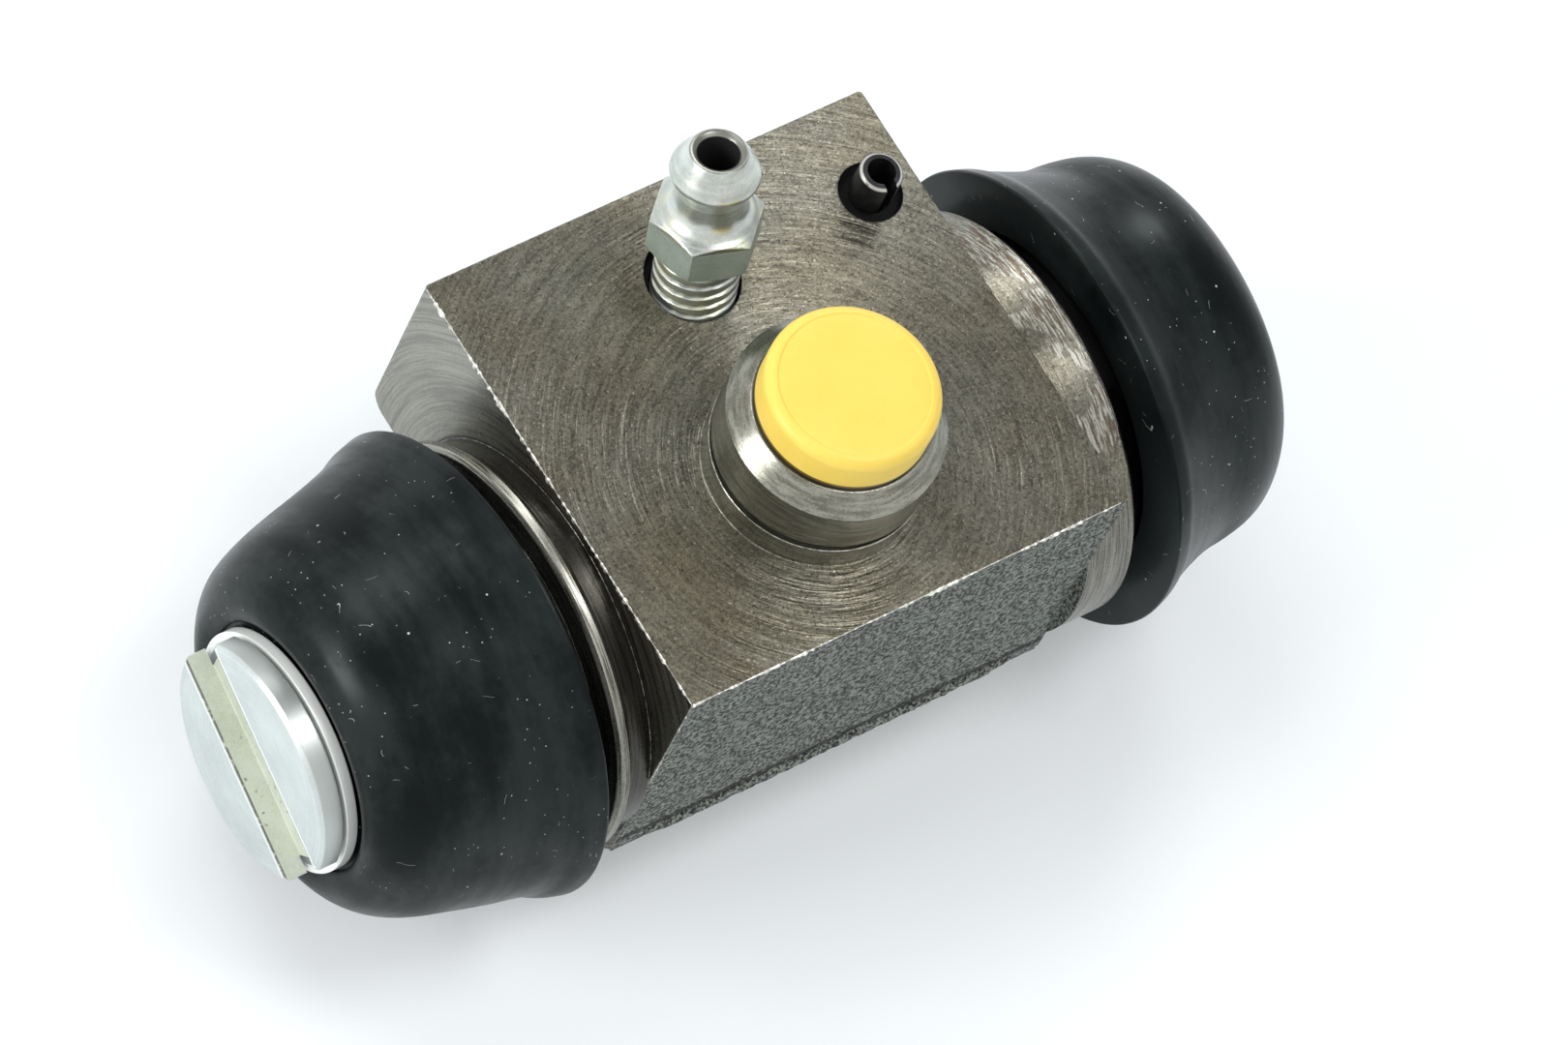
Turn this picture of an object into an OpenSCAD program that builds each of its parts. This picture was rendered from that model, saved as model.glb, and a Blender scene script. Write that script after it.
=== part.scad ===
// Hydraulic wheel cylinder for a drum brake: a cast body with two opposed pistons.
// Origin on the mounting face at the spigot's axis, +Z along the spigot, +X along the bore.

/* [Housing] */
// Height of the mounting face above the bore axis
face_height = 15; // [15:0.1:18]
// Distance along the bore from the spigot's axis to the middle of the body
body_shift = 1.2; // [0:0.1:3]
// Distance across the body from the spigot's axis to the bore axis
bore_shift = 2.2; // [0:0.1:3]
// Diameter of the bore
bore_d = 19.05; // [18.5:0.05:20]
// Radius of the cast barrel
barrel_r = 15.8; // [15.2:0.1:17]
// Length of the cast block along the bore
block_len = 35.8; // [34:0.1:37]
// Distance along the bore from the middle of the body to the middle of the block
block_shift = -0.45; // [-0.8:0.05:0.8]
// Distance from the bore axis to the flat on the front of the block
front_flat = 13.95; // [13:0.05:15]
// Distance from the bore axis to the back edge of the flange
flange_reach = 20.45; // [20:0.05:24]
// Depth of the flange below the mounting face
flange_depth = 16.2; // [12:0.1:18]
// Radius of the cast edge under the back of the flange
corner_r = 1.6; // [0.5:0.1:3]
// Radius of the block's two back corners, seen in plan
plan_corner_r = 0.3; // [0.2:0.1:1.5]
// Radius of the cast fillet between the flange and the barrel
fillet_r = 2.5; // [1:0.1:4]
// Radius of the turned relief next to the left end of the block
relief_r = 14.2; // [13.6:0.05:14.6]
// Radius of the turned land at each end
land_r = 14.95; // [14.7:0.05:15.2]
// Width of the turned land beside the relief
land_w = 1.15; // [0.8:0.05:1.6]
// Wall of the neck that carries each boot
neck_wall = 3; // [2.5:0.1:3.2]
// Distance from the middle of the body to each end of the neck
body_half = 27; // [26:0.1:29]
// Length of neck inside a boot, from the boot's rim to the end of the neck
neck_cover = 3.45; // [3:0.05:4]
// Chamfer at each mouth of the bore
bore_chamfer = 0.6; // [0.2:0.1:1]

/* [Spigot and inlet] */
// Diameter of the spigot
spigot_d = 15.3; // [14:0.1:17]
// Height of the spigot above the mounting face
spigot_h = 8.15; // [7:0.05:10]
// Chamfer around the top of the spigot
spigot_chamfer = 1.37; // [0.5:0.01:1.6]
// Height of the clip groove above the mounting face
clip_z = 2.15; // [1.5:0.05:3]
// Width of the clip groove
clip_w = 0.75; // [0.5:0.05:1.2]
// Depth of the clip groove
clip_depth = 0.6; // [0.3:0.05:1]
// Diameter of the inlet's tapped hole
inlet_d = 9; // [8:0.1:10]
// Depth of the inlet's tapped hole
inlet_depth = 9; // [7.5:0.1:10]
// Diameter of the drilled port from the inlet to the bore
inlet_port_d = 2.6; // [1.5:0.1:4]

/* [Inlet plug] */
// Diameter of the plug's head
plug_head_d = 12.25; // [11:0.05:13.5]
// Thickness of the plug's head
plug_head_h = 3.4; // [1.5:0.1:4]
// Round on the edge of the plug's head
plug_round = 0.8; // [0.3:0.1:1.2]
// Length of the plug's stem
plug_stem = 6; // [4:0.1:7]
// Wall of the plug's hollow stem
plug_wall = 1.2; // [0.8:0.1:2]
// Gap between the plug's stem and the tapped hole
plug_gap = 0.08; // [0.02:0.01:0.1]

/* [Bleed screw] */
// Place of the bleed hole along the bore, from the spigot's axis
bleed_x = 0.1; // [-2:0.1:2]
// How far the bleed screw's axis cuts inside the bore's wall
bleed_bite = 0.25; // [0.1:0.05:1]
// Lean of the bleed screw towards the back
bleed_lean = 13; // [5:0.5:16]
// Diameter of the bleed screw's thread
bleed_d = 6; // [5:0.1:6.4]
// Gap between the thread and its hole
thread_gap = 0.08; // [0.02:0.01:0.1]
// Thickness of the backing plate that the leaning screw passes through
plate_t = 2; // [1.5:0.1:3]
// Room around the leaning screw at the mouth of its hole
bleed_mouth_gap = 0.1; // [0.05:0.05:0.4]
// Depth of that wider mouth
bleed_mouth_depth = 0.8; // [0.4:0.1:1.5]
// Depth of the bleed screw's straight shank below the face
bleed_shank = 5; // [4:0.1:5.5]
// Length of thread that shows above the face
bleed_show = 4.2; // [3:0.1:6]
// Width of the hexagon across its flats
hex_flats = 7; // [6.6:0.1:8]
// Height of the hexagon
hex_h = 3.2; // [2.5:0.1:5]
// Turn of the hexagon about the screw's axis
hex_turn = 41; // [0:1:60]
// Diameter of the neck above the hexagon
nipple_neck_d = 4.9; // [4.2:0.1:5.4]
// Diameter of the nipple's rim
nipple_rim_d = 6.2; // [5.6:0.1:6.8]
// Diameter of the nipple's mouth
nipple_mouth_d = 4; // [3.4:0.1:4.4]
// Length of the neck up to the nipple's rim
nipple_neck_h = 4; // [3.5:0.1:6]
// Length of the tapered nose above the rim
nipple_nose_h = 2.1; // [1:0.1:3]
// Diameter of the drilled way through the bleed screw
bleed_way_d = 2.9; // [1.5:0.1:3.1]
// Depth of the drilled way from the nipple's mouth
bleed_way_depth = 16.5; // [12:0.1:18]

/* [Locating pin] */
// Place of the spring pin along the bore, from the spigot's axis
pin_x = 15; // [13:0.1:15.5]
// Place of the spring pin across the face, from the spigot's axis
pin_y = 15.7; // [14:0.1:17]
// Diameter of the spring pin
pin_d = 3.1; // [2.5:0.05:3.5]
// Height of the spring pin above the face
pin_show = 3; // [2:0.1:5]
// Depth of the spring pin below the face
pin_depth = 7; // [4:0.1:9]
// Wall of the rolled pin
pin_wall = 0.55; // [0.4:0.05:0.8]
// How far the pin's radius closes in its hole
pin_squeeze = 0.2; // [0.16:0.01:0.24]
// Width of the slit in the pin
pin_slit = 0.85; // [0.4:0.05:1.2]
// Diameter of the counterbore at the mouth of the pin's hole
pin_mouth_d = 4.6; // [4:0.1:5.5]
// Depth of that counterbore
pin_mouth_depth = 0.6; // [0.3:0.1:1.5]

/* [Pistons] */
// Distance from the end of the neck to the left piston's face
left_reach = 14; // [12.5:0.1:16]
// Distance from the end of the neck to the right piston's face
right_reach = 10.2; // [9.5:0.1:14]
// Running gap between a piston and the bore
piston_gap = 0.04; // [0.02:0.01:0.1]
// Length of a piston from its face to its inner end
piston_len = 22; // [20:0.1:24]
// Diameter of the nose disc
nose_d = 17.3; // [16:0.1:17.6]
// Thickness of the nose disc
nose_t = 1.7; // [1.2:0.1:1.8]
// Width of the shoe's slot across the nose
slot_w = 5.3; // [4:0.1:6]
// Depth of the shoe's slot
slot_depth = 1.8; // [1.7:0.1:1.9]
// Turn of the left piston's slot
left_slot_turn = 18.8; // [-30:0.2:30]
// Turn of the right piston's slot
right_slot_turn = -9; // [-30:0.2:30]
// Distance from the face to the thin flange that holds the boot's lip
collar_back = 2; // [1.95:0.05:2.6]
// Diameter of that flange
collar_d = 17.5; // [17:0.1:17.8]
// Thickness of that flange
collar_t = 0.8; // [0.5:0.05:1.2]
// Width of the groove for the boot's lip
lip_groove_w = 2.6; // [2.2:0.1:3.4]
// Depth of the lip groove below the piston's skirt
lip_groove_depth = 2; // [1.5:0.1:2.5]

/* [Cups and spring] */
// Length of a piston cup
cup_len = 6; // [5:0.1:6.5]
// Thickness of the cup's base
cup_base = 2.2; // [1.5:0.1:3]
// Thickness of the cup's lip
cup_lip = 1.6; // [1:0.1:2]
// Taper of the lip's inside, which opens towards the spring
cup_flare = 0.5; // [0.2:0.1:0.8]
// Thickness of a cup expander's pressed sheet
expander_t = 0.8; // [0.5:0.05:1.2]
// Diameter of the spring's wire
spring_wire = 1; // [0.8:0.05:1.4]
// Mean diameter of the spring's coil
spring_d = 9; // [8:0.1:10.5]
// Turns of the spring
spring_turns = 6; // [4:1:8]

/* [Boots] */
// Gap between a land and the boot's open rim
rim_gap = 2.1; // [1.5:0.05:2.8]
// Radius of a boot's open rim
rim_r = 16.92; // [16.5:0.02:18]
// Radius of a boot's middle
boot_mid_r = 14.1; // [13.9:0.1:14.6]
// Wall of a boot
boot_wall = 1.3; // [1:0.1:1.5]
// Length of the thick bead at a boot's rim
bead_len = 2.5; // [2.2:0.1:2.8]
// Radius of the round on a boot's nose
boot_round = 3.2; // [2.8:0.1:3.6]
// Radius of the mouth in a boot's nose
boot_mouth_r = 9; // [8.9:0.05:9.6]
// Distance from the left piston's face back to the front of its boot
left_boot_back = 2.6; // [2.2:0.1:2.8]
// The same on the right, where the boot is closed up and bulges forward
right_boot_back = 0.6; // [0.4:0.1:2.4]
// Thickness of the boot's lip in the piston's groove
boot_lip_t = 1.8; // [1.4:0.1:2]
// Gap around each rubber edge that meets metal
rubber_gap = 0.3; // [0.2:0.05:0.4]
// Depth of the bead's groove in the neck
bead_depth = 0.9; // [0.5:0.1:1.2]
// Width of the bead's groove
bead_groove_w = 1.7; // [1.2:0.1:2]

/* [Hidden] */
$fn = 96;
eps = 0.05;
bore_r = bore_d / 2;
block_left = block_shift - block_len / 2;
block_right = block_shift + block_len / 2;
flange_z = face_height - flange_depth;
neck_r = bore_r + neck_wall;
bead_groove_r = neck_r - bead_depth;
rim_at = body_half - neck_cover;
land_end = rim_at - rim_gap;
bead_from = (bead_len - bead_groove_w) / 2;
land_edge = land_w / 4;
spigot_r = spigot_d / 2;
inlet_floor = spigot_h - inlet_depth;
drill_angle = 118;
plug_r = inlet_d / 2 - plug_gap;
bleed_y = bore_shift + (bore_r - bleed_bite + face_height * sin(bleed_lean)) / cos(bleed_lean);
bleed_port_end = (bleed_y - bore_shift) * sin(bleed_lean) + face_height * cos(bleed_lean);
bleed_hole_r = bleed_d / 2 + thread_gap;
bleed_drift = plate_t * tan(bleed_lean) / 2;
bleed_mouth_r = bleed_d / 2 / cos(bleed_lean) + bleed_drift + bleed_mouth_gap;
bleed_seat_h = bleed_d * 0.3;
bleed_port_r = bleed_way_d * 0.27;
hex_r = hex_flats / 2 / cos(30);
pin_r = pin_d / 2;
pin_hole_r = pin_r - pin_squeeze;
pin_chamfer = pin_wall / 2;
left_face = body_half + left_reach;
right_face = body_half + right_reach;
piston_r = bore_r - piston_gap;
lip_groove_r = piston_r - lip_groove_depth;
lip_from = collar_back + collar_t;
skirt_from = lip_from + lip_groove_w;
cup_r = piston_r;
expander_r = cup_r - cup_lip - rubber_gap;

// Places a shape drawn about the bore: its X goes across, its Y up and its Z along the bore.
module on_bore() {
    translate([body_shift, bore_shift, -face_height]) rotate([90, 0, 90]) children();
}

// The same, for the left end of the bore.
module on_bore_left() {
    on_bore() mirror([0, 0, 1]) children();
}

// Places a shape along the bleed screw, with Z = 0 on the mounting face.
module on_bleed() {
    translate([bleed_x, bleed_y, 0]) rotate([-bleed_lean, 0, 0]) children();
}

// Section of the cast block across the bore.
module block_section() {
    fillet_z = flange_z - fillet_r;
    fillet_y = sqrt(pow(barrel_r + fillet_r, 2) - pow(fillet_z, 2));
    intersection() {
        union() {
            circle(barrel_r);
            translate([-front_flat, flange_z]) square([front_flat + flange_reach - corner_r, flange_depth]);
            translate([0, flange_z + corner_r]) square([flange_reach, flange_depth - corner_r]);
            translate([flange_reach - corner_r, flange_z + corner_r]) circle(corner_r);
            difference() {
                polygon([[0, 0], [0, fillet_z], [fillet_y, fillet_z], [fillet_y, flange_z + eps]]);
                translate([fillet_y, fillet_z]) circle(fillet_r);
                difference() {
                    translate([0, -2 * barrel_r]) square([2 * barrel_r, 2 * barrel_r]);
                    polygon([[0, eps], [0, 0], [fillet_y, fillet_z], [fillet_y, flange_z + eps]]);
                }
            }
        }
        translate([-front_flat, -barrel_r - eps])
            square([front_flat + flange_reach, barrel_r + eps + face_height]);
    }
}

// Plan of the block, with its two back corners rounded.
module block_plan() {
    front = bore_shift - front_flat;
    back = bore_shift + flange_reach;
    left = body_shift + block_left;
    translate([left, front]) square([block_len, back - plan_corner_r - front]);
    translate([left + plan_corner_r, front]) square([block_len - 2 * plan_corner_r, back - front]);
    for (x = [left + plan_corner_r, left + block_len - plan_corner_r])
        translate([x, back - plan_corner_r]) circle(plan_corner_r);
}

// Turned outside of one end of the body, beyond the given end of the block.
module turned_end(block_end, relieved) {
    bead_at = rim_at + bead_from;
    from = block_end - eps;
    root = relieved ? [
        [relief_r, from],
        [relief_r, land_end - land_w - land_edge],
        [land_r - land_edge, land_end - land_w],
        [land_r, land_end - land_w + land_edge]
    ] : [[land_r, from]];
    rotate_extrude() polygon(concat(
        [
            [0, 0],
            [neck_r, 0],
            [neck_r, from]
        ],
        root,
        [
            [land_r, land_end - land_edge],
            [land_r - land_edge, land_end],
            [neck_r, land_end],
            [neck_r, bead_at],
            [bead_groove_r, bead_at],
            [bead_groove_r, bead_at + bead_groove_w],
            [neck_r, bead_at + bead_groove_w],
            [neck_r, body_half],
            [0, body_half]
        ]
    ));
}

// Spigot that locates the body in its backing plate, with its clip groove.
module spigot_outside() {
    rotate_extrude() polygon([
        [0, -eps],
        [spigot_r, -eps],
        [spigot_r, clip_z],
        [spigot_r - clip_depth, clip_z],
        [spigot_r - clip_depth, clip_z + clip_w],
        [spigot_r, clip_z + clip_w],
        [spigot_r, spigot_h - spigot_chamfer],
        [spigot_r - spigot_chamfer, spigot_h],
        [0, spigot_h]
    ]);
}

module inlet_cut() {
    drill_h = inlet_d / 2 / tan(drill_angle / 2);
    translate([0, 0, inlet_floor]) cylinder(d = inlet_d, h = inlet_depth + eps);
    translate([0, 0, inlet_floor - drill_h]) cylinder(d1 = 0, d2 = inlet_d, h = drill_h);
    translate([0, 0, -face_height]) cylinder(d = inlet_port_d, h = face_height + inlet_floor);
}

module bleed_cut() {
    translate([0, 0, -bleed_shank]) cylinder(r = bleed_hole_r, h = bleed_shank + bleed_d);
    translate([0, 0, -bleed_shank - bleed_seat_h])
        cylinder(r1 = bleed_port_r, r2 = bleed_hole_r, h = bleed_seat_h);
    translate([0, 0, -bleed_port_end]) cylinder(r = bleed_port_r, h = bleed_port_end - bleed_shank);
}

// Wider mouth of the bleed hole, set back to clear the screw where it leans through the plate.
module bleed_mouth() {
    translate([bleed_x, bleed_y + bleed_drift, -bleed_mouth_depth])
        cylinder(r = bleed_mouth_r, h = bleed_mouth_depth + eps);
}

module pin_cut() {
    translate([0, 0, -pin_depth]) cylinder(r = pin_hole_r, h = pin_depth + eps);
    translate([0, 0, -pin_mouth_depth]) cylinder(d = pin_mouth_d, h = pin_mouth_depth + eps);
}

module bore_cut() {
    cylinder(r = bore_r, h = body_half + eps);
    translate([0, 0, body_half - bore_chamfer])
        cylinder(r1 = bore_r, r2 = bore_r + bore_chamfer + eps, h = bore_chamfer + eps);
}

// Cast iron body, turned at its ends and faced around its spigot.
module housing() {
    color([0.36, 0.35, 0.33])
    difference() {
        union() {
            intersection() {
                on_bore() translate([0, 0, block_left]) linear_extrude(block_len) block_section();
                translate([0, 0, -2 * face_height - barrel_r])
                    linear_extrude(2 * face_height + barrel_r) block_plan();
            }
            on_bore() turned_end(block_right, false);
            on_bore_left() turned_end(-block_left, true);
            spigot_outside();
        }
        on_bore() translate([0, 0, -eps]) bore_cut();
        on_bore_left() translate([0, 0, -eps]) bore_cut();
        inlet_cut();
        on_bleed() bleed_cut();
        bleed_mouth();
        translate([pin_x, pin_y, 0]) pin_cut();
    }
}

// Zinc plated piston, drawn outwards along the bore, with its face at the given place.
module piston(face, slot_turn) {
    inner = face - piston_len;
    edge = nose_t / 6;
    difference() {
        rotate_extrude() polygon([
            [0, inner],
            [piston_r - edge, inner],
            [piston_r, inner + edge],
            [piston_r, face - skirt_from],
            [lip_groove_r, face - skirt_from],
            [lip_groove_r, face - lip_from],
            [collar_d / 2, face - lip_from],
            [collar_d / 2, face - collar_back],
            [lip_groove_r, face - collar_back],
            [lip_groove_r, face - nose_t],
            [nose_d / 2, face - nose_t],
            [nose_d / 2, face - edge],
            [nose_d / 2 - edge, face],
            [0, face]
        ]);
        rotate([0, 0, slot_turn]) translate([-nose_d, -slot_w / 2, face - slot_depth])
            cube([2 * nose_d, slot_w, slot_depth + eps]);
    }
}

module left_piston() {
    color([0.70, 0.72, 0.74]) on_bore_left() piston(left_face, left_slot_turn);
}

module right_piston() {
    color([0.70, 0.72, 0.74]) on_bore() piston(right_face, right_slot_turn);
}

// Rubber cup that seals behind a piston, its lip opening towards the middle.
module piston_cup(face) {
    back = face - piston_len;
    front = back - cup_len;
    rotate_extrude() polygon([
        [0, back],
        [cup_r, back],
        [cup_r, front],
        [cup_r - cup_lip + cup_flare, front],
        [cup_r - cup_lip, back - cup_base],
        [0, back - cup_base]
    ]);
}

module left_piston_cup() {
    color([0.06, 0.06, 0.06]) on_bore_left() piston_cup(left_face);
}

module right_piston_cup() {
    color([0.06, 0.06, 0.06]) on_bore() piston_cup(right_face);
}

// Place of an expander's flat inner side, where the spring bears.
function spring_seat(face) = face - piston_len - cup_base - expander_t;

// Pressed sheet that spreads the cup's lip and seats the spring.
module cup_expander(face) {
    seat = spring_seat(face);
    skirt = cup_len - cup_base - expander_t;
    rotate_extrude() polygon([
        [0, seat],
        [expander_r - expander_t, seat],
        [expander_r - expander_t, seat - skirt],
        [expander_r, seat - skirt],
        [expander_r, seat + expander_t],
        [0, seat + expander_t]
    ]);
}

module left_cup_expander() {
    color([0.74, 0.70, 0.52]) on_bore_left() cup_expander(left_face);
}

module right_cup_expander() {
    color([0.74, 0.70, 0.52]) on_bore() cup_expander(right_face);
}

// Coil spring between the two expanders.
module return_spring() {
    sides = 8;
    steps = 20;
    wire_r = spring_wire / 2;
    from = -spring_seat(left_face) + wire_r + eps;
    to = spring_seat(right_face) - wire_r - eps;
    count = spring_turns * steps;
    points = [
        for (i = [0:count], k = [0:sides - 1])
            let (
                turn = 360 * i / steps,
                side = 360 * k / sides,
                r = spring_d / 2 + wire_r * cos(side)
            )
            [r * cos(turn), r * sin(turn), from + (to - from) * i / count + wire_r * sin(side)]
    ];
    walls = [
        for (i = [0:count - 1], k = [0:sides - 1])
            let (a = i * sides + k, b = i * sides + (k + 1) % sides)
            each [[a, b, b + sides], [a, b + sides, a + sides]]
    ];
    first = [for (k = [sides - 1:-1:0]) k];
    last = [for (k = [0:sides - 1]) count * sides + k];
    color([0.45, 0.46, 0.48]) on_bore() polyhedron(points, concat(walls, [first, last]));
}

// Rubber boot from the neck of the body to the groove of a piston with its face at the given place.
// Its front lies the given distance back from that face.
module boot(face, front_back) {
    lip_at = face - lip_from - (lip_groove_w - boot_lip_t) / 2;
    front = face - front_back;
    mouth_at = front - boot_round / 10;
    round_at = front - boot_round;
    shoulder_r = boot_mid_r - boot_round / 4;
    waist_at = rim_at + (round_at - rim_at) * 0.65;
    round_r = shoulder_r - boot_round;
    inner_round = boot_round - boot_wall;
    bead_at = rim_at + bead_from + rubber_gap / 2;
    bead_r = neck_r + rubber_gap / 3;
    hole_r = lip_groove_r + rubber_gap;
    inside_r = boot_mid_r - boot_wall;
    rotate_extrude() polygon(concat(
        [
            [bead_r, rim_at],
            [rim_r, rim_at],
            [rim_r - boot_round / 16, rim_at + boot_round / 8],
            [boot_mid_r + boot_round / 8, waist_at],
        ],
        [for (a = [90:-15:0]) [round_r + boot_round * sin(a), round_at + boot_round * cos(a)]],
        [
            [boot_mouth_r, mouth_at],
            [boot_mouth_r, lip_at],
            [hole_r, lip_at],
            [hole_r, lip_at - boot_lip_t],
            [round_r, lip_at - boot_lip_t],
        ],
        [for (a = [30:15:90]) [round_r + inner_round * sin(a), round_at + inner_round * cos(a)]],
        [
            [inside_r, waist_at],
            [inside_r, rim_at + bead_len + boot_wall],
            [bead_r, rim_at + bead_len],
            [bead_r, bead_at + bead_groove_w - rubber_gap],
            [bead_groove_r + rubber_gap / 3, bead_at + bead_groove_w - rubber_gap],
            [bead_groove_r + rubber_gap / 3, bead_at],
            [bead_r, bead_at],
        ]
    ));
}

module left_boot() {
    color([0.08, 0.09, 0.09]) on_bore_left() boot(left_face, left_boot_back);
}

module right_boot() {
    color([0.08, 0.09, 0.09]) on_bore() boot(right_face, right_boot_back);
}

// Plated bleed screw: threaded shank with a cone seat, hexagon and hose nipple.
module bleed_screw() {
    hex_z = bleed_show;
    neck_z = hex_z + hex_h;
    rim_z = neck_z + nipple_neck_h;
    top_z = rim_z + nipple_nose_h;
    neck_r = nipple_neck_d / 2;
    rim_r = nipple_rim_d / 2;
    flare_h = nipple_neck_h / 3;
    rim_t = nipple_nose_h / 6;
    hex_edge = hex_r - hex_flats / 2;
    countersink = bleed_way_d / 12;
    color([0.68, 0.70, 0.72])
    on_bleed() difference() {
        union() {
            rotate_extrude() polygon([
                [0, thread_gap - bleed_shank - bleed_seat_h],
                [bleed_port_r, thread_gap - bleed_shank - bleed_seat_h],
                [bleed_d / 2, thread_gap - bleed_shank],
                [bleed_d / 2, hex_z + eps],
                [neck_r, hex_z + eps],
                [neck_r, rim_z - flare_h],
                [rim_r, rim_z],
                [rim_r, rim_z + rim_t],
                [nipple_mouth_d / 2, top_z],
                [0, top_z]
            ]);
            intersection() {
                rotate([0, 0, hex_turn]) translate([0, 0, hex_z]) cylinder(r = hex_r, h = hex_h, $fn = 6);
                rotate_extrude() polygon([
                    [0, hex_z],
                    [hex_flats / 2, hex_z],
                    [hex_r, hex_z + hex_edge / 2],
                    [hex_r, neck_z - hex_edge / 2],
                    [hex_flats / 2, neck_z],
                    [0, neck_z]
                ]);
            }
        }
        translate([0, 0, top_z - bleed_way_depth]) cylinder(d = bleed_way_d, h = bleed_way_depth + eps);
        translate([0, 0, top_z - countersink])
            cylinder(d1 = bleed_way_d, d2 = bleed_way_d + 2 * countersink + eps, h = countersink + eps);
    }
}

// Rolled spring pin that keys the body against turning.
module spring_pin() {
    inner_r = pin_r - pin_wall;
    color([0.10, 0.10, 0.10])
    translate([pin_x, pin_y, 0]) difference() {
        rotate_extrude() polygon([
            [inner_r, -pin_depth],
            [pin_hole_r - pin_chamfer, -pin_depth],
            [pin_hole_r, pin_chamfer - pin_depth],
            [pin_hole_r, 0],
            [pin_r, 0],
            [pin_r, pin_show - pin_chamfer],
            [pin_r - pin_chamfer, pin_show],
            [inner_r, pin_show]
        ]);
        translate([-pin_slit / 2, -pin_d, -pin_depth - eps])
            cube([pin_slit, pin_d, pin_depth + pin_show + 2 * eps]);
    }
}

// Yellow moulded plug that keeps dirt out of the inlet: a round head on a hollow stem.
module inlet_plug() {
    head_r = plug_head_d / 2;
    top = spigot_h + plug_head_h;
    round_r = head_r - plug_round;
    color([0.98, 0.82, 0.16])
    rotate_extrude() polygon(concat(
        [
            [0, top],
        ],
        [for (a = [0:15:90]) [round_r + plug_round * sin(a), top - plug_round + plug_round * cos(a)]],
        [
            [head_r, spigot_h],
            [plug_r, spigot_h],
            [plug_r, spigot_h - plug_stem + plug_round],
            [plug_r - plug_round / 2, spigot_h - plug_stem],
            [plug_r - plug_wall, spigot_h - plug_stem],
            [plug_r - plug_wall, spigot_h],
            [0, spigot_h]
        ]
    ));
}

housing();
left_piston();
right_piston();
left_piston_cup();
right_piston_cup();
left_cup_expander();
right_cup_expander();
return_spring();
left_boot();
right_boot();
bleed_screw();
spring_pin();
inlet_plug();
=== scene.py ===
import math

import bmesh
import bpy
from mathutils import Matrix, Vector, noise


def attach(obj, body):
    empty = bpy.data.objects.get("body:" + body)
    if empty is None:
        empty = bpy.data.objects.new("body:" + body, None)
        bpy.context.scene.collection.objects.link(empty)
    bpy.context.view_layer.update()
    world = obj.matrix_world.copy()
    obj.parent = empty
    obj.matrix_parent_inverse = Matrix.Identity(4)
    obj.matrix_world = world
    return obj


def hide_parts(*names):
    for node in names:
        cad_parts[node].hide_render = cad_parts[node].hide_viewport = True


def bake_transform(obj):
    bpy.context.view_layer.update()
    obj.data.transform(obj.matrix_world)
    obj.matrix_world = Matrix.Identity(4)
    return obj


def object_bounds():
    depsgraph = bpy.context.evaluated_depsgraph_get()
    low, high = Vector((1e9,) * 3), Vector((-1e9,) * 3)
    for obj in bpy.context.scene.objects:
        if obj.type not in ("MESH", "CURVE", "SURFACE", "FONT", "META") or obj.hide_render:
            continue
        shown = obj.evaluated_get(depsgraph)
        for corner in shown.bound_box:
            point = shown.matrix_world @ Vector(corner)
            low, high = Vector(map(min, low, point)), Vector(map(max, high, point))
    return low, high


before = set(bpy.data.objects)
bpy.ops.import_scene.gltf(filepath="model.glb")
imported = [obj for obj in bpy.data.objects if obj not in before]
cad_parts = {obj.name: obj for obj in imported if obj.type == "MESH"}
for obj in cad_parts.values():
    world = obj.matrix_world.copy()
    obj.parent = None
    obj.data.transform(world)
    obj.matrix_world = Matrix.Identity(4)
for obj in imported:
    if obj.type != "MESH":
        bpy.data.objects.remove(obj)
cad_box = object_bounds()

# Housing: one iron casting, left rough on its sides. Its mounting face and spigot are turned in one
# setting about the spigot's axis, and its ends about the bore, so each cut leaves fine rings.
# Sizes are in millimetres, from the mounting face at the spigot's axis.
bore_y, bore_z = 2.2, -15.0
block_left, block_right, block_front, block_back = -17.15, 18.65, -11.75, 22.65
relief_end, neck_left, neck_right = -18.85, -20.27, 22.67
bleed_mouth, pin_mouth, hole_floor = (0.1, 15.41, 3.45), (15.0, 15.7, 2.34), -8
relief_r, shadow_line_drop, worn_end = 14.6, 6.2, 18.2
slack, right_slack = 0.03, 0.04


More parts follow.
